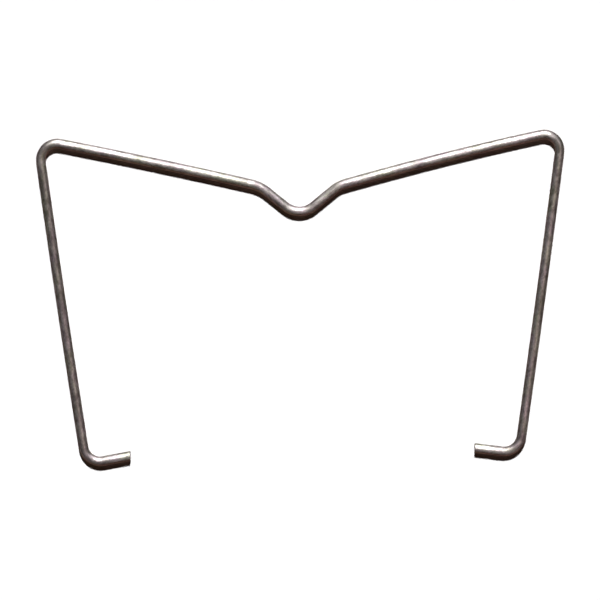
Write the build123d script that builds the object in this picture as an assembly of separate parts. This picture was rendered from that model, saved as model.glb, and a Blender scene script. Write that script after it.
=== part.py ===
from build123d import *
from dataclasses import dataclass
import math
import os

# Retaining clip: one length of round spring wire, bent in one plane.
#
# Millimetres and degrees. The clip lies flat: the plane of the wire is XY, the
# feet point at each other at -Y, the pressing V points down from the arms at +Y,
# and +Z is up from the surface that the clip lies on. The origin is under the
# centre of the clip's outline, on that surface.
#
# Lengths are measured along the middle of the wire, between the points where the
# straight runs would meet if the bends were sharp. Radii are also to the middle
# of the wire.

WIRE_DIAMETER = 0.80
WIRE_RADIUS = WIRE_DIAMETER / 2

VALLEY_RADIUS = 1.92  # bend at the bottom of the V, the point that presses
BOW_SPAN = 0.75  # how much of an arm or leg its gentle bow is spread over

CUT_RUN_OUT = WIRE_DIAMETER  # wire fed past each end before it is sheared off
CUT_EDGE_BREAK = 0.04  # chamfer left round each sheared end


@dataclass(frozen=True)
class Half:
    """One half of the clip, from the bottom of the V out to the cut end of the foot."""

    flank_length: float
    flank_rise: float  # slope of the V's side above level
    shoulder_radius: float
    arm_length: float
    arm_rise: float  # slope of the arm, up towards the corner
    arm_bow: float  # how much the arm turns over its length, always more than 0
    corner_radius: float
    leg_length: float
    leg_splay: float  # how far the leg leans outwards at the top
    leg_bow: float  # the same for the leg
    heel_radius: float
    foot_length: float
    foot_rise: float  # slope of the foot, up towards its cut end
    cut_slant: float  # how far the sheared end is from square


# The two halves are bent one after the other by hand tooling, so they differ a
# little, as they do on the real clip. Its arms and legs aren't quite straight:
# each stands a little outwards at its middle.
LEFT = Half(
    flank_length=4.25,
    flank_rise=39.6,
    shoulder_radius=3.15,
    arm_length=18.90,
    arm_rise=12.94,
    arm_bow=1.65,
    corner_radius=1.35,
    leg_length=27.35,
    leg_splay=7.43,
    leg_bow=0.86,
    heel_radius=1.40,
    foot_length=3.74,
    foot_rise=9.4,
    cut_slant=11.5,
)
RIGHT = Half(
    flank_length=4.23,
    flank_rise=38.4,
    shoulder_radius=2.40,
    arm_length=19.20,
    arm_rise=12.90,
    arm_bow=3.20,
    corner_radius=1.30,
    leg_length=27.18,
    leg_splay=8.69,
    leg_bow=0.64,
    heel_radius=1.50,
    foot_length=3.73,
    foot_rise=8.0,
    cut_slant=7.0,
)


def step(start, length, direction):
    """The point that lies a length away from start, in a direction given in degrees."""
    return start + Vector(length, 0).rotate(Axis.Z, direction)


def bowed_run(start, length, direction, bow):
    """The middle and the end of a run that stands a little outwards at its middle."""
    middle = step(start, length / 2, direction + bow / 2)
    return middle, step(middle, length / 2, direction - bow / 2)


def bow_radius(length, bow):
    """The radius that spreads a run's bow over most of its length."""
    return BOW_SPAN * length / 2 / math.tan(math.radians(bow / 2))


def half_points(half):
    """The meeting points of a right-hand half, from the shoulder out to the cut end."""
    shoulder = step(Vector(0, 0), half.flank_length, half.flank_rise)
    arm_middle, corner = bowed_run(shoulder, half.arm_length, half.arm_rise, half.arm_bow)
    leg_middle, heel = bowed_run(corner, half.leg_length, -90 - half.leg_splay, half.leg_bow)
    cut_end = step(heel, half.foot_length, 180 - half.foot_rise)
    return [shoulder, arm_middle, corner, leg_middle, heel, cut_end]


def half_radii(half):
    """The bend radii of a half, from the shoulder out to the heel."""
    return [
        half.shoulder_radius,
        bow_radius(half.arm_length, half.arm_bow),
        half.corner_radius,
        bow_radius(half.leg_length, half.leg_bow),
        half.heel_radius,
    ]


def mirrored(points):
    """The same points on the left of the clip."""
    return [Vector(-point.X, point.Y) for point in points]


def run_out(heel, cut_end):
    """The end of the wire before it is sheared, in line with the foot."""
    return cut_end + (cut_end - heel).normalized() * CUT_RUN_OUT


def wire_path(left_points, right_points):
    """The middle line of the wire: straight runs joined by tangent arcs."""
    *left_bends, left_cut_end = left_points
    *right_bends, right_cut_end = right_points
    points = [
        run_out(left_bends[-1], left_cut_end),
        *reversed(left_bends),
        Vector(0, 0),
        *right_bends,
        run_out(right_bends[-1], right_cut_end),
    ]
    radii = [*reversed(half_radii(LEFT)), VALLEY_RADIUS, *half_radii(RIGHT)]
    return FilletPolyline(*points, radius=radii)


def sheared(wire, heel, cut_end, slant):
    """The wire cut off at the end of a foot, with the edge of the cut broken."""
    outwards = (cut_end - heel).normalized().rotate(Axis.Z, slant)
    blade = Box(
        2 * WIRE_DIAMETER,
        2 * WIRE_DIAMETER,
        2 * CUT_RUN_OUT,
        align=(Align.CENTER, Align.CENTER, Align.MIN),
    )
    wire -= Plane(origin=cut_end, z_dir=outwards) * blade
    cut_face = wire.faces().filter_by(GeomType.PLANE).sort_by_distance(cut_end)[0]
    return chamfer(cut_face.edges(), CUT_EDGE_BREAK)


def bent_wire():
    """The whole clip, with the bottom of the V's middle line at the origin."""
    left_points = mirrored(half_points(LEFT))
    right_points = half_points(RIGHT)
    path = wire_path(left_points, right_points)
    section = Plane(origin=path @ 0, z_dir=path % 0) * Circle(WIRE_RADIUS)
    wire = sweep(section, path=path)
    wire = sheared(wire, *left_points[-2:], -LEFT.cut_slant)
    wire = sheared(wire, *right_points[-2:], RIGHT.cut_slant)
    report_lengths(wire, path)
    return wire


def report_lengths(wire, path):
    """Print the wire's cut length, and its volume against section times length."""
    cut_length = path.length - 2 * CUT_RUN_OUT
    section_area = math.pi * WIRE_RADIUS**2
    print(f"wire: {cut_length:.2f} mm from cut end to cut end")
    print(f"volume: {wire.volume:.3f} mm3, section x length: {section_area * cut_length:.3f} mm3")


def laid_flat(wire):
    """The clip on its surface, with the origin under the centre of its outline."""
    outline = wire.bounding_box()
    middle = outline.center()
    return Pos(-middle.X, -middle.Y, -outline.min.Z) * wire


def main():
    os.makedirs("parts", exist_ok=True)
    wire_clip = laid_flat(bent_wire())
    wire_clip.label = "wire_clip"
    export_step(wire_clip, "parts/wire_clip.step")


main()
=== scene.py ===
import math
from typing import NamedTuple

import bmesh
import bpy
from mathutils import Matrix, Vector, noise


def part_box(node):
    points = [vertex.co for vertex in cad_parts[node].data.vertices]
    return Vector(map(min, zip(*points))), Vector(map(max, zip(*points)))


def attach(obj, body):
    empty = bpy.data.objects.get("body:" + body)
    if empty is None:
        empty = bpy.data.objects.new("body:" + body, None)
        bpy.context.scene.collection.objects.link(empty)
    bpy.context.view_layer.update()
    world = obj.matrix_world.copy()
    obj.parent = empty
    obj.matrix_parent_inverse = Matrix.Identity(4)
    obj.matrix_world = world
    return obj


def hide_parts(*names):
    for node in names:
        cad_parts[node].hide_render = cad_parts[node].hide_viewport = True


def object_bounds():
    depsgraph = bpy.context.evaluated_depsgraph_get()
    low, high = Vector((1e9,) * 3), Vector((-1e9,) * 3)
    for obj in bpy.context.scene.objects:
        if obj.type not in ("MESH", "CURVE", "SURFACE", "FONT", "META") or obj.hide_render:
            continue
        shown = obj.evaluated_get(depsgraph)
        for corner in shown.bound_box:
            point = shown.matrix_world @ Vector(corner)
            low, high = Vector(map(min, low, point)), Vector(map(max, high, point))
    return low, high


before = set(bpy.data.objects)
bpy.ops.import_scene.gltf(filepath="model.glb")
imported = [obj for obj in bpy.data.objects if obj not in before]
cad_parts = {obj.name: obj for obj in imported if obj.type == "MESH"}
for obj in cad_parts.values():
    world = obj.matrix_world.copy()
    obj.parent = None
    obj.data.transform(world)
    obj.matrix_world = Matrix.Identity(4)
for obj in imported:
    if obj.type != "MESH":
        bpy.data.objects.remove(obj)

# A wire retaining clip, laid flat on a pale floor and seen from above.
#
# The clip is one bent spring wire. Its CAD node is replaced by a finer swept mesh
# of the same wire. Each point of the mesh knows its place in the straightened wire,
# so that the drawn finish follows every bend. The wire is set out in millimetres, as
# in the CAD model, and its mesh turns them into metres. The stage, the lamps and the
# camera are in metres, in the frame of the CAD.

MM = 0.001
CAD_LOW, CAD_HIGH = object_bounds()
WIRE_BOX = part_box("wire_clip")

# --- the wire -------------------------------------------------------------------

# Millimetres and degrees, the same sizes as in the CAD model.
WIRE_RADIUS = (WIRE_BOX[1].z - WIRE_BOX[0].z) / MM / 2
VALLEY_RADIUS = 1.92  # bend at the bottom of the V
BOW_SPAN = 0.75  # how much of an arm or leg its gentle bow is spread over
CUT_EDGE_BREAK = 0.04  # chamfer left round each sheared end


class Half(NamedTuple):
    """One half of the clip, from the bottom of the V out to the cut end of the foot."""

    flank_length: float
    flank_rise: float  # slope of the V's side above level
    shoulder_radius: float
    arm_length: float
    arm_rise: float  # slope of the arm, up towards the corner
    arm_bow: float  # how much the arm turns over its length
    corner_radius: float
    leg_length: float
    leg_splay: float  # how far the leg leans outwards at the top
    leg_bow: float
    heel_radius: float
    foot_length: float
    foot_rise: float  # slope of the foot, up towards its cut end
    cut_slant: float  # how far the sheared end is from square


LEFT = Half(
    flank_length=4.25,
    flank_rise=39.6,
    shoulder_radius=3.15,
    arm_length=18.90,
    arm_rise=12.94,
    arm_bow=1.65,
    corner_radius=1.35,
    leg_length=27.35,
    leg_splay=7.43,
    leg_bow=0.86,
    heel_radius=1.40,
    foot_length=3.74,
    foot_rise=9.4,
    cut_slant=11.5,
)
RIGHT = Half(
    flank_length=4.23,
    flank_rise=38.4,
    shoulder_radius=2.40,
    arm_length=19.20,
    arm_rise=12.90,
    arm_bow=3.20,
    corner_radius=1.30,
    leg_length=27.18,
    leg_splay=8.69,
    leg_bow=0.64,
    heel_radius=1.50,
    foot_length=3.73,
    foot_rise=8.0,
    cut_slant=7.0,
)


class Station(NamedTuple):
    """One place along the middle of the wire, in the plane of the clip."""

    place: Vector
    along: Vector
    length: float  # from the left cut end
    bend: float  # how far into a bend this is: 0 on a straight run, 1 mid-bend
    turn: float  # +1 where the wire bends to its left, -1 to its right, 0 straight


def heading(degrees):
    """The direction that lies this far anticlockwise from +X."""
    return Vector((math.cos(math.radians(degrees)), math.sin(math.radians(degrees))))


def bowed_run(start, length, direction, bow):
    """The middle and the end of a run that stands a little outwards at its middle."""
    middle = start + length / 2 * heading(direction + bow / 2)
    return middle, middle + length / 2 * heading(direction - bow / 2)


def bow_radius(length, bow):
    """The radius that spreads a run's bow over most of its length."""
    return BOW_SPAN * length / 2 / math.tan(math.radians(bow / 2))


def half_points(half):
    """The meeting points of a right-hand half, from the shoulder out to the cut end."""
    shoulder = half.flank_length * heading(half.flank_rise)
    arm_middle, corner = bowed_run(shoulder, half.arm_length, half.arm_rise, half.arm_bow)
    leg_middle, heel = bowed_run(corner, half.leg_length, -90 - half.leg_splay, half.leg_bow)
    cut_end = heel + half.foot_length * heading(180 - half.foot_rise)
    return [shoulder, arm_middle, corner, leg_middle, heel, cut_end]


def half_radii(half):
    """The bend radii of a half, from the shoulder out to the heel."""
    return [
        half.shoulder_radius,
        bow_radius(half.arm_length, half.arm_bow),
        half.corner_radius,
        bow_radius(half.leg_length, half.leg_bow),
        half.heel_radius,
    ]


def setting_out():
    """The clip's meeting points from left tip to right tip, and the bend radii."""
    left = [Vector((-p.x, p.y)) for p in half_points(LEFT)]
    points = [*reversed(left), Vector((0, 0)), *half_points(RIGHT)]
    radii = [*reversed(half_radii(LEFT)), VALLEY_RADIUS, *half_radii(RIGHT)]
    return points, radii


STEP = 0.12  # mm between rings, on straight runs and round wide bends
BEND_STEP = math.radians(2.5)  # between rings round a tight bend
FEWEST_RUN_STEPS, FEWEST_BEND_STEPS = 2, 4
WIDEST_FORMED_BEND = 10.0  # mm, over which a bend is only the wire's own bow


def straight_run(start, end, length):
    """Stations from start up to, but not at, end."""
    along = (end - start).normalized()
    run = (end - start).length
    count = max(FEWEST_RUN_STEPS, round(run / STEP))
    for i in range(count):
        far = run * i / count
        yield Station(start + along * far, along, length + far, 0.0, 0.0)


def bend_arc(start, along_in, along_out, radius, length):
    """Stations round a bend that starts at start, up to but not at its end."""
    turn = math.atan2(along_in.cross(along_out), along_in.dot(along_out))
    side = math.copysign(1.0, turn)
    centre = start + side * radius * Vector((-along_in.y, along_in.x))
    step = min(BEND_STEP, STEP / radius)
    count = max(FEWEST_BEND_STEPS, round(abs(turn) / step))
    for i in range(count):
        share = i / count
        spin = Matrix.Rotation(turn * share, 2)
        place = centre + spin @ (start - centre)
        far = abs(turn) * radius * share
        depth = math.sin(math.pi * share) if radius < WIDEST_FORMED_BEND else 0.0
        yield Station(place, spin @ along_in, length + far, depth, side)


def stations():
    """The middle of the wire from cut end to cut end: straight runs and tangent arcs."""
    points, radii = setting_out()
    found = []
    length = 0.0
    start = points[0]
    for before, here, after, radius in zip(points, points[1:], points[2:], radii):
        along_in = (here - before).normalized()
        along_out = (after - here).normalized()
        turn = along_in.angle(along_out)
        tangent = radius * math.tan(turn / 2)
        bend_start = here - along_in * tangent
        found += straight_run(start, bend_start, length)
        length += (bend_start - start).length
        found += bend_arc(bend_start, along_in, along_out, radius, length)
        length += turn * radius
        start = here + along_out * tangent
    found += straight_run(start, points[-1], length)
    along = (points[-1] - start).normalized()
    found.append(Station(points[-1], along, length + (points[-1] - start).length, 0.0, 0.0))
    return found


RING = 56  # points round the wire
PIN_FLAT_DEPTH = 0.018  # mm pressed into the inside of a bend by the forming pin
PIN_FLAT_HALF = math.radians(38)  # half the part of the section that the pin touched
BEND_THINNING = 0.010  # mm lost from the stretched outside of a bend
WAVE_HEIGHT = 0.0035  # mm, the unevenness left by drawing and straightening
WAVE_LENGTH = 1.6  # mm


def section_radius(station, angle):
    """The wire's radius at one place, in mm: round, a little pressed at its bends."""
    radius = WIRE_RADIUS
    inwards = 0.0 if station.turn > 0 else math.pi
    from_pin = abs((angle - inwards + math.pi) % math.tau - math.pi)
    if from_pin < PIN_FLAT_HALF:
        press = math.cos(from_pin / PIN_FLAT_HALF * math.pi / 2) ** 2
        radius -= PIN_FLAT_DEPTH * press * station.bend
    outside = max(0.0, -math.cos(from_pin))
    radius -= BEND_THINNING * outside**2 * station.bend
    where = Vector((math.cos(angle), math.sin(angle), station.length / WAVE_LENGTH))
    return radius - WAVE_HEIGHT * (0.5 + 0.5 * noise.noise(where))


def ring_points(station, shrink=0.0, slant=0.0, back=0.0):
    """One ring round the wire. slant tilts it to a shear's plane. back moves it along the wire."""
    along = station.along.to_3d()
    left = Vector((-along.y, along.x, 0))
    for i in range(RING):
        angle = math.tau * i / RING
        radius = section_radius(station, angle) - shrink
        sideways = radius * math.cos(angle)
        forward = back + sideways * math.tan(slant)
        yield (
            station.place.to_3d()
            + left * sideways
            + Vector((0, 0, radius * math.sin(angle)))
            + along * forward
        )


class Tube:
    """The rings of the wire's mesh, with what the finish needs to know of each point."""

    def __init__(self):
        self.points = []
        self.straightened = []  # each point as if the wire were never bent
        self.faces = []
        self.face_slots = []
        self.sharp_rings = []

    def add_ring(self, points, length, reach=WIRE_RADIUS, sharp=False):
        """Adds a ring. reach is its radius in the straightened wire."""
        first = len(self.points)
        for i, point in enumerate(points):
            angle = math.tau * i / RING
            self.points.append(point)
            self.straightened.append((reach * math.cos(angle), reach * math.sin(angle), length))
        if sharp:
            self.sharp_rings.append(first)
        return first

    def bridge(self, first, second, slot, outwards=1):
        """Joins two rings. outwards is -1 if the second is nearer to the wire's first end."""
        if outwards < 0:
            first, second = second, first
        for i in range(RING):
            j = (i + 1) % RING
            self.faces.append((first + i, first + j, second + j, second + i))
            self.face_slots.append(slot)

    def close(self, ring, centre, length, slot, outwards):
        """Fans a ring to one point in the middle of a cut face."""
        middle = len(self.points)
        self.points.append(centre)
        self.straightened.append((0.0, 0.0, length))
        for i in range(RING):
            j = (i + 1) % RING
            corner = (ring + i, ring + j) if outwards > 0 else (ring + j, ring + i)
            self.faces.append((*corner, middle))
            self.face_slots.append(slot)


DRAWN, SHEARED = 0, 1  # material slots
CUT_RINGS = 7  # rings from the edge of a sheared face to its middle
CUT_GRAIN = 0.012  # mm, the torn face's unevenness
CUT_GRAIN_SIZE = 0.16  # mm


def cut_ring(station, share, slant, outwards):
    """One ring of a sheared face, share of the way from its edge to its middle."""
    for point in ring_points(station, WIRE_RADIUS - cut_reach(share), slant):
        rough = noise.noise(point / CUT_GRAIN_SIZE) * min(1.0, share * CUT_RINGS)
        yield point + station.along.to_3d() * outwards * CUT_GRAIN * rough


def cut_reach(share):
    """A cut ring's radius, share of the way from the face's edge to its middle."""
    return (WIRE_RADIUS - CUT_EDGE_BREAK) * (1 - share)


def add_cut_face(tube, station, slant, outwards):
    """A sheared end: the broken edge, then the cut face. Returns the ring that the wire joins."""
    back = -outwards * CUT_EDGE_BREAK
    outer = tube.add_ring(ring_points(station, 0.0, slant, back), station.length, sharp=True)
    rim = ring_points(station, CUT_EDGE_BREAK, slant)
    previous = tube.add_ring(rim, station.length, cut_reach(0), sharp=True)
    tube.bridge(outer, previous, DRAWN, outwards)
    for i in range(1, CUT_RINGS):
        share = i / CUT_RINGS
        points = cut_ring(station, share, slant, outwards)
        ring = tube.add_ring(points, station.length, cut_reach(share))
        tube.bridge(previous, ring, SHEARED, outwards)
        previous = ring
    tube.close(previous, station.place.to_3d(), station.length, SHEARED, outwards)
    return outer


def swept_tube(places):
    """The whole wire as one closed tube."""
    tube = Tube()
    slants = math.radians(LEFT.cut_slant), math.radians(-RIGHT.cut_slant)
    previous = add_cut_face(tube, places[0], slants[0], -1)
    for station in places[1:-1]:
        ring = tube.add_ring(ring_points(station), station.length)
        tube.bridge(previous, ring, DRAWN)
        previous = ring
    last = add_cut_face(tube, places[-1], slants[1], 1)
    tube.bridge(previous, last, DRAWN)
    return tube


def wire_mesh(name, tube):
    """The tube as a Blender mesh, set on the middle of its CAD node."""
    low = Vector(map(min, *tube.points))
    high = Vector(map(max, *tube.points))
    shift = (WIRE_BOX[0] + WIRE_BOX[1]) / 2 - (low + high) / 2 * MM
    mesh = bpy.data.meshes.new(name)
    mesh.from_pydata([point * MM + shift for point in tube.points], [], tube.faces)
    mesh.polygons.foreach_set("material_index", tube.face_slots)
    mesh.polygons.foreach_set("use_smooth", [True] * len(tube.faces))
    mark_sharp(mesh, tube.sharp_rings)
    add_wire_maps(mesh, tube)
    mesh.update()
    return mesh


def mark_sharp(mesh, rings):
    """Keeps the edges of each sheared end crisp."""
    in_ring = {}
    for ring in rings:
        in_ring.update(dict.fromkeys(range(ring, ring + RING), ring))
    sharp = mesh.attributes.new("sharp_edge", "BOOLEAN", "EDGE")
    for edge in mesh.edges:
        a, b = edge.vertices
        sharp.data[edge.index].value = a in in_ring and in_ring.get(b) == in_ring[a]


PLACES = "straightened"  # the attribute that holds each point's place in the straight wire
WIRE_MAP = "along_wire"  # the map whose directions the drawn shine follows
BAKE_MAP = "OFBake"  # the map that an export bakes the finish through
BAKE_COLUMNS = 6  # columns of unrolled wire, for a bake as fine along the wire as round it
BAKE_GAP = 0.004  # share of the image left empty round each column
BAKE_PATCH = 0.06  # share of the image's width that each cut face has to itself


def add_wire_maps(mesh, tube):
    """The straightened places, for the drawn finish, and the UV maps made from them."""
    straightened = mesh.attributes.new(PLACES, "FLOAT_VECTOR", "POINT")
    for data, place in zip(straightened.data, tube.straightened):
        data.vector = place
    for name in (WIRE_MAP, BAKE_MAP):
        mesh.uv_layers.new(name=name)
    wire_map = mesh.uv_layers[WIRE_MAP].data
    bake_map = mesh.uv_layers[BAKE_MAP].data
    wire_length = tube.straightened[-1][2]
    for face in mesh.polygons:
        places = [tube.straightened[vertex] for vertex in face.vertices]
        angles = unrolled([angle_round_wire(place) for place in places])
        for loop, place, angle in zip(face.loop_indices, places, angles):
            wire_map[loop].uv = (angle * WIRE_RADIUS, place[2])
        for loop, spot in zip(face.loop_indices, bake_spots(places, angles, wire_length)):
            bake_map[loop].uv = spot


def angle_round_wire(place):
    return math.atan2(place[1], place[0]) % math.tau


def unrolled(angles):
    """The angles of one face's corners, without the jump back to 0 after a full turn."""
    wraps = max(angles) - min(angles) > math.pi
    return [angle + math.tau if wraps and angle < math.pi else angle for angle in angles]


def bake_spots(places, angles, wire_length):
    """Where one face's corners lie in the bake's image."""
    lengths = [place[2] for place in places]
    if min(lengths) == max(lengths):
        return [cut_spot(place) for place in places]
    column_length = wire_length / BAKE_COLUMNS
    column = min(BAKE_COLUMNS - 1, int(min(lengths) / column_length))
    start = column * column_length
    reach = column_length + 2 * STEP  # a column's last faces run past its end
    return [
        column_spot(column, angle, (length - start) / reach)
        for length, angle in zip(lengths, angles)
    ]


def column_spot(column, angle, share):
    """A spot on a column of unrolled wire, share of the way along it.

    It runs round the wire and then along it, as the other map does, because an exported
    anisotropic shine follows this one.
    """
    width = (1 - BAKE_PATCH) / BAKE_COLUMNS
    across = column * width + BAKE_GAP + angle / math.tau * (width - 2 * BAKE_GAP)
    return across, BAKE_GAP + share * (1 - 2 * BAKE_GAP)


def cut_spot(place):
    """A spot on a cut face. The two faces lie one above the other beside the columns."""
    left, up, length = place
    scale = (BAKE_PATCH - 2 * BAKE_GAP) / (2 * WIRE_RADIUS)
    middle = BAKE_PATCH * (0.5 if length == 0 else 1.5)
    return 1 - BAKE_PATCH / 2 + left * scale, middle + up * scale


# --- materials ------------------------------------------------------------------


class Nodes:
    """A short way to write the node tree of a material or of the world."""

    def __init__(self, owner, shader="Principled BSDF"):
        owner.use_nodes = True
        self.owner = owner
        self.tree = owner.node_tree
        self.shader = self.tree.nodes[shader]

    def add(self, kind, inputs=None, **settings):
        node = self.tree.nodes.new(kind)
        for key, value in settings.items():
            setattr(node, key, value)
        for key, value in (inputs or {}).items():
            self.set(node.inputs[key], value)
        return node

    def set(self, socket, value):
        if isinstance(value, bpy.types.NodeSocket):
            self.tree.links.new(value, socket)
        else:
            socket.default_value = value


def wire_place(nodes):
    """Each point's place in the straightened wire, in mm: left, up and along."""
    return nodes.add("ShaderNodeAttribute", attribute_name=PLACES).outputs["Vector"]


class Pattern(NamedTuple):
    """Noise that is fixed to the wire."""

    scale: tuple  # features per mm of straightened wire: left, up and along
    detail: float = 3.0
    roughness: float = 0.5
    offset: float = 0.0  # keeps a pattern from following another


def noise_on_wire(nodes, pattern):
    mapping = nodes.add(
        "ShaderNodeMapping",
        {
            "Vector": wire_place(nodes),
            "Location": (pattern.offset,) * 3,
            "Scale": pattern.scale,
        },
    )
    texture = nodes.add(
        "ShaderNodeTexNoise",
        {
            "Vector": mapping.outputs["Vector"],
            "Scale": 1.0,
            "Detail": pattern.detail,
            "Roughness": pattern.roughness,
        },
    )
    return texture.outputs["Fac"]


def ramp(nodes, factor, stops):
    """A colour ramp with (position, colour) stops."""
    node = nodes.add("ShaderNodeValToRGB", {"Fac": factor})
    elements = node.color_ramp.elements
    while len(elements) < len(stops):
        elements.new(0.5)  # set just below
    for element, (position, colour) in zip(elements, stops):
        element.position = position
        element.color = (*colour, 1.0)
    return node.outputs["Color"]


def to_range(nodes, value, low, high, start=0.3, full=0.7):
    """Turns a value that runs from start to full into one that runs from low to high."""
    inputs = {"Value": value, "From Min": start, "From Max": full, "To Min": low, "To Max": high}
    return nodes.add("ShaderNodeMapRange", inputs).outputs["Result"]


def mixed(nodes, factor, colour, other, blend="MIX"):
    inputs = {"Fac": factor, "Color1": colour, "Color2": other}
    return nodes.add("ShaderNodeMixRGB", inputs, blend_type=blend).outputs["Color"]


def multiplied(nodes, value, factor):
    node = nodes.add("ShaderNodeMath", operation="MULTIPLY")
    nodes.set(node.inputs[0], value)
    nodes.set(node.inputs[1], factor)
    return node.outputs[0]


def added(nodes, value, other):
    node = nodes.add("ShaderNodeMath", operation="ADD")
    nodes.set(node.inputs[0], value)
    nodes.set(node.inputs[1], other)
    return node.outputs[0]


def greys(*stops):
    """Stops of a ramp that only darkens, from (position, lightness) pairs."""
    return [(position, (lightness,) * 3) for position, lightness in stops]


TARNISH = Pattern((1.6, 1.6, 0.6), detail=6.0, roughness=0.82)
TARNISH_COLOURS = [  # dulled steel, through plain, to steel that is still bright
    (0.40, (0.320, 0.298, 0.284)),
    (0.50, (0.530, 0.502, 0.488)),
    (0.60, (0.770, 0.742, 0.730)),
]
HUE = Pattern((1.3, 1.3, 0.6), detail=4.0, roughness=0.7, offset=3.0)
HUE_COLOURS = [  # the film on the steel drifts from olive brown to violet grey
    (0.38, (0.950, 1.000, 0.850)),
    (0.50, (1.000, 0.985, 0.960)),
    (0.62, (1.000, 0.905, 0.985)),
]
STREAKS = Pattern((6.0, 6.0, 0.16), offset=11.0)
STREAK_SHADES = greys((0.35, 0.84), (0.65, 1.0))
GRAIN = Pattern((7.0, 7.0, 4.5), detail=2.0, offset=43.0)
GRAIN_SHADES = greys((0.36, 0.74), (0.62, 1.0))
RUBS = Pattern((2.6, 2.6, 1.3), detail=2.0, offset=19.0)
RUBBED = (0.68, 0.64, 0.62, 1.0)  # small places rubbed bright
RUBBED_SHARE = 0.55  # how far such a place goes to that colour
RUBBED_FROM, RUBBED_FULL = 0.54, 0.66  # where in the noise it starts and is full
RUBBED_SMOOTHER = -0.03  # times a place's share, added to its roughness
SPECKS = Pattern((9.0, 9.0, 4.0), detail=1.0, offset=27.0)
SPECK = (0.20, 0.175, 0.155, 1.0)
SPECK_SHARE = 0.45
SPECK_FROM, SPECK_FULL = 0.60, 0.70
EDGE_TINT = (1.0, 0.88, 0.78, 1.0)  # the film is browner where it is seen edge on
DULL_ROUGHNESS, BRIGHT_ROUGHNESS = 0.485, 0.460
DRAWN_ANISOTROPY = 0.56  # drawing spreads the shine round the wire


def drawn_steel():
    """Drawn spring wire: brown-grey steel, mottled and rubbed, with fine lengthwise lines."""
    nodes = Nodes(bpy.data.materials.new("drawn_spring_steel"))
    shader = nodes.shader
    tarnish = noise_on_wire(nodes, TARNISH)
    hue = noise_on_wire(nodes, HUE)
    streaks = noise_on_wire(nodes, STREAKS)
    grain = noise_on_wire(nodes, GRAIN)
    rubs = noise_on_wire(nodes, RUBS)
    specks = noise_on_wire(nodes, SPECKS)
    rubbed = to_range(nodes, rubs, 0.0, RUBBED_SHARE, RUBBED_FROM, RUBBED_FULL)
    speckled = to_range(nodes, specks, 0.0, SPECK_SHARE, SPECK_FROM, SPECK_FULL)

    colour = ramp(nodes, tarnish, TARNISH_COLOURS)
    colour = mixed(nodes, 1.0, colour, ramp(nodes, hue, HUE_COLOURS), "MULTIPLY")
    colour = mixed(nodes, 1.0, colour, ramp(nodes, streaks, STREAK_SHADES), "MULTIPLY")
    colour = mixed(nodes, 1.0, colour, ramp(nodes, grain, GRAIN_SHADES), "MULTIPLY")
    colour = mixed(nodes, rubbed, colour, RUBBED)
    colour = mixed(nodes, speckled, colour, SPECK)
    nodes.set(shader.inputs["Base Color"], colour)
    nodes.set(shader.inputs["Metallic"], 1.0)
    dull = to_range(nodes, tarnish, DULL_ROUGHNESS, BRIGHT_ROUGHNESS)
    smoother = multiplied(nodes, rubbed, RUBBED_SMOOTHER)
    nodes.set(shader.inputs["Roughness"], added(nodes, dull, smoother))
    nodes.set(shader.inputs["Anisotropic"], DRAWN_ANISOTROPY)
    nodes.set(shader.inputs["Specular Tint"], EDGE_TINT)
    tangent = nodes.add("ShaderNodeTangent", direction_type="UV_MAP", uv_map=WIRE_MAP)
    nodes.set(shader.inputs["Tangent"], tangent.outputs["Tangent"])
    nodes.set(shader.inputs["Normal"], wire_bumps(nodes))
    return nodes.owner


WAVES = Pattern((1.2, 1.2, 0.8), detail=2.0, offset=35.0)
WAVE_BUMP = {"Strength": 1.0, "Distance": 0.000005}
DRAW_LINES = Pattern((22.0, 22.0, 0.35), offset=7.0)
DRAW_LINE_BUMP = {"Strength": 0.6, "Distance": 0.000012}


def wire_bumps(nodes):
    """Fine draw lines on top of the slight waviness of straightened wire."""
    wavy = bump(nodes, noise_on_wire(nodes, WAVES), WAVE_BUMP)
    return bump(nodes, noise_on_wire(nodes, DRAW_LINES), {**DRAW_LINE_BUMP, "Normal": wavy})


def bump(nodes, height, settings):
    return nodes.add("ShaderNodeBump", {"Height": height, **settings}).outputs["Normal"]


TEAR_GRAIN = Pattern((14.0, 14.0, 14.0), detail=5.0, roughness=0.7)
TORN_COLOURS = [(0.3, (0.16, 0.14, 0.13)), (0.7, (0.36, 0.33, 0.31))]
TEAR_BUMP = {"Strength": 0.6, "Distance": 0.00001}
SCORES = Pattern((2.5, 26.0, 2.5), offset=5.0)
SCORED_COLOURS = [(0.35, (0.38, 0.35, 0.33)), (0.65, (0.60, 0.57, 0.55))]
SLID_EDGE_GRAIN = 0.35  # mm, how much the grain breaks up the edge of the scored part
SLID_FROM, SLID_FULL = 0.15, 0.21  # mm to the wire's left with that grain added, at that edge
TORN_ROUGHNESS, SCORED_ROUGHNESS = 0.60, 0.42


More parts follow.
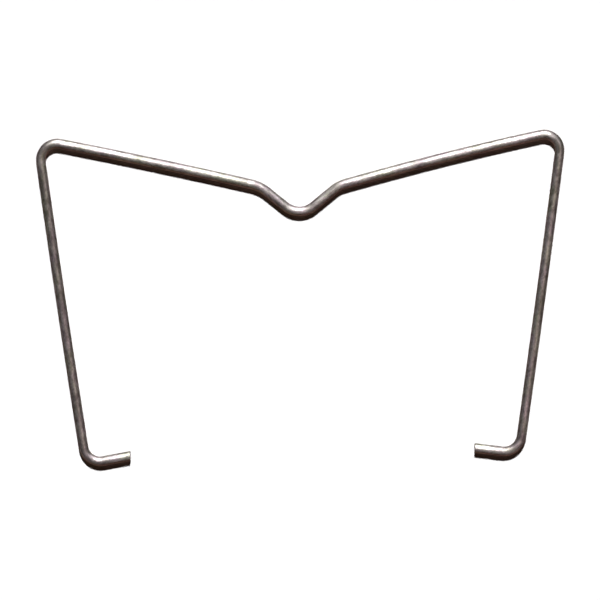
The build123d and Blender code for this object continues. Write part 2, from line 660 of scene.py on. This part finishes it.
def sheared_steel():
    """A sheared end: scored bright where the blade slid past, dark and grainy where it tore."""
    nodes = Nodes(bpy.data.materials.new("sheared_spring_steel"))
    shader = nodes.shader
    grain = noise_on_wire(nodes, TEAR_GRAIN)
    scores = noise_on_wire(nodes, SCORES)
    across = nodes.add("ShaderNodeSeparateXYZ", {"Vector": wire_place(nodes)}).outputs["X"]
    edge = added(nodes, across, multiplied(nodes, grain, SLID_EDGE_GRAIN))
    slid = to_range(nodes, edge, 0.0, 1.0, SLID_FROM, SLID_FULL)
    torn = ramp(nodes, grain, TORN_COLOURS)
    scored = ramp(nodes, scores, SCORED_COLOURS)
    roughness = to_range(nodes, slid, TORN_ROUGHNESS, SCORED_ROUGHNESS, start=0.0, full=1.0)
    nodes.set(shader.inputs["Base Color"], mixed(nodes, slid, torn, scored))
    nodes.set(shader.inputs["Metallic"], 1.0)
    nodes.set(shader.inputs["Roughness"], roughness)
    nodes.set(shader.inputs["Normal"], bump(nodes, grain, TEAR_BUMP))
    return nodes.owner


WHITE, BLACK = (1.0, 1.0, 1.0, 1.0), (0.0, 0.0, 0.0, 1.0)
PAPER = (0.99, 0.99, 0.99, 1.0)
PAPER_ROUGHNESS = 0.9
PAPER_SPECULAR = 0.1


def floor_paper():
    """Plain pale paper under the clip."""
    nodes = Nodes(bpy.data.materials.new("floor_paper"))
    nodes.set(nodes.shader.inputs["Base Color"], PAPER)
    nodes.set(nodes.shader.inputs["Roughness"], PAPER_ROUGHNESS)
    nodes.set(nodes.shader.inputs["Specular IOR Level"], PAPER_SPECULAR)
    return nodes.owner


def backdrop_paper():
    """Paper so evenly lit that it needs no lamp of its own."""
    nodes = Nodes(bpy.data.materials.new("backdrop_paper"))
    nodes.set(nodes.shader.inputs["Base Color"], BLACK)
    nodes.set(nodes.shader.inputs["Specular IOR Level"], 0.0)
    nodes.set(nodes.shader.inputs["Emission Color"], WHITE)
    nodes.set(nodes.shader.inputs["Emission Strength"], 1.0)
    return nodes.owner


# --- the object and its stage -----------------------------------------------------


def add_clip():
    """The finer mesh of the wire, in place of its CAD node."""
    mesh = wire_mesh("spring_wire", swept_tube(stations()))
    mesh.materials.append(drawn_steel())
    mesh.materials.append(sheared_steel())
    clip = bpy.data.objects.new("spring_wire", mesh)
    bpy.context.collection.objects.link(clip)
    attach(clip, "root")
    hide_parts("wire_clip")
    return clip


FLOOR_HALF = 2.0  # from its middle to each side


def add_floor():
    """Plain paper under the clip. The wire doesn't mirror it, so its lower sides stay dark."""
    mesh = bpy.data.meshes.new("floor")
    z = CAD_LOW.z
    corners = [(-1, -1), (1, -1), (1, 1), (-1, 1)]
    mesh.from_pydata([(x * FLOOR_HALF, y * FLOOR_HALF, z) for x, y in corners], [], [(0, 1, 2, 3)])
    mesh.materials.append(floor_paper())
    floor = bpy.data.objects.new("floor", mesh)
    bpy.context.collection.objects.link(floor)
    floor.visible_glossy = False


BACKDROP_RADIUS = 1.5
BACKDROP_SEGMENTS, BACKDROP_RINGS = 32, 16


def add_backdrop():
    """A white dome that only the camera sees, so that low views have no dark horizon."""
    sphere = bmesh.new()
    bmesh.ops.create_uvsphere(
        sphere, u_segments=BACKDROP_SEGMENTS, v_segments=BACKDROP_RINGS, radius=BACKDROP_RADIUS
    )
    mesh = bpy.data.meshes.new("backdrop")
    sphere.to_mesh(mesh)
    sphere.free()
    mesh.materials.append(backdrop_paper())
    backdrop = bpy.data.objects.new("backdrop", mesh)
    backdrop.visible_diffuse = False
    backdrop.visible_glossy = False
    backdrop.visible_shadow = False
    bpy.context.collection.objects.link(backdrop)


CAMERA_DISTANCE = 0.34  # from the middle of the wire
PICTURE_WIDTH = 0.04999  # what the camera takes in at the wire
SENSOR_WIDTH = 36.0  # mm
CLIP_NEAR, CLIP_FAR = 0.01, 20.0
CAMERA_ROLL = math.radians(1.06)  # the clip lies turned by this, anticlockwise in the picture
PICTURE_CENTRE = Vector((-0.000243, -0.000155))  # from the middle of the clip


def add_camera():
    """A long lens straight above the clip."""
    middle = (CAD_LOW + CAD_HIGH) / 2
    data = bpy.data.cameras.new("camera")
    data.sensor_width = SENSOR_WIDTH
    data.lens = SENSOR_WIDTH * CAMERA_DISTANCE / PICTURE_WIDTH
    data.clip_start = CLIP_NEAR
    data.clip_end = CLIP_FAR
    camera = bpy.data.objects.new("camera", data)
    offset = Vector((PICTURE_CENTRE.x, PICTURE_CENTRE.y, CAMERA_DISTANCE))
    camera.location = middle + offset
    camera.rotation_euler = (0.0, 0.0, -CAMERA_ROLL)
    bpy.context.collection.objects.link(camera)
    bpy.context.scene.camera = camera


def aim(lamp, azimuth, elevation, distance):
    """Puts a lamp on the side given by azimuth, clockwise from +Y, so that it faces the clip."""
    a = math.radians(azimuth)
    e = math.radians(elevation)
    out = Vector((math.sin(a) * math.cos(e), math.cos(a) * math.cos(e), math.sin(e)))
    lamp.location = out * distance
    lamp.rotation_euler = out.to_track_quat("Z", "Y").to_euler()


KEY_STRENGTH = 4.3
KEY_ANGLE = math.radians(4.5)  # how wide the lamp looks from the clip
KEY_PLACE = (2.0, 50.7, 1.0)  # azimuth, elevation and distance


def add_key_light():
    """A sun beyond the arms, which draws the line of light along them and the shadow."""
    data = bpy.data.lights.new("key", "SUN")
    data.energy = KEY_STRENGTH
    data.angle = KEY_ANGLE
    lamp = bpy.data.objects.new("key", data)
    aim(lamp, *KEY_PLACE)
    bpy.context.collection.objects.link(lamp)


FILL_WATTS = 0.185
FILL_WIDTH = 0.20
FILL_COLOUR = (1.0, 0.74, 0.67)
FILL_PLACE = (105.0, 68.0, 0.5)  # azimuth, elevation and distance


def add_fill_light(clip):
    """A wide dim lamp high on the right, for the clip alone, so that the shadow stays dark."""
    data = bpy.data.lights.new("fill", "AREA")
    data.shape = "DISK"
    data.size = FILL_WIDTH
    data.energy = FILL_WATTS
    data.color = FILL_COLOUR
    lamp = bpy.data.objects.new("fill", data)
    lamp.visible_camera = False
    aim(lamp, *FILL_PLACE)
    bpy.context.collection.objects.link(lamp)
    light_only(lamp, clip)


def light_only(lamp, piece):
    """Keeps a lamp's light to one piece."""
    lit = bpy.data.collections.new(f"lit_by_{lamp.name}")
    lit.objects.link(piece)
    lamp.light_linking.receiver_collection = lit


# What the wire mirrors above the horizon and below it. Front is the side of the feet.
ROOM_ABOVE = (0.004, 0.003, 0.003, 1.0)  # a dark room, so that shadows stay dark
ROOM_FRONT = (0.024, 0.010, 0.004, 1.0)  # a dim brown front, which tints the shadow
ROOM_SIDES = (0.020, 0.012, 0.010, 1.0)  # for the edges of the legs
WARM_FRONT = (0.120, 0.060, 0.040, 1.0)  # for the lower sides of the arms and feet
TABLE_GLOW = (0.400, 0.270, 0.235, 1.0)  # light off the table, for the wire's lowest sides
# Each change is spread over a range of the direction's Y or Z.
FRONT_FROM, FRONT_FULL = -0.2, -0.8
ABOVE_FROM, ABOVE_FULL = 0.0, 0.15
DEEP_FROM, DEEP_FULL = -0.3, -0.9


def add_world():
    """A dark room, warm and low in front, over a table that glows a little."""
    nodes = Nodes(bpy.data.worlds.new("studio"), "Background")
    direction = nodes.add("ShaderNodeTexCoord").outputs["Generated"]
    split = nodes.add("ShaderNodeSeparateXYZ", {"Vector": direction})
    frontness = to_range(nodes, split.outputs["Y"], 0.0, 1.0, FRONT_FROM, FRONT_FULL)
    height = to_range(nodes, split.outputs["Z"], 0.0, 1.0, ABOVE_FROM, ABOVE_FULL)
    depth = to_range(nodes, split.outputs["Z"], 0.0, 1.0, DEEP_FROM, DEEP_FULL)
    around = mixed(nodes, frontness, ROOM_SIDES, WARM_FRONT)
    below = mixed(nodes, depth, around, TABLE_GLOW)
    above = mixed(nodes, frontness, ROOM_ABOVE, ROOM_FRONT)
    nodes.set(nodes.shader.inputs["Color"], mixed(nodes, height, below, above))
    bpy.context.scene.world = nodes.owner


def set_plain_view():
    """Shows colours as they are, with no film look."""
    bpy.context.scene.view_settings.view_transform = "Standard"


clip = add_clip()
add_floor()
add_backdrop()
add_camera()
add_key_light()
add_fill_light(clip)
add_world()
set_plain_view()
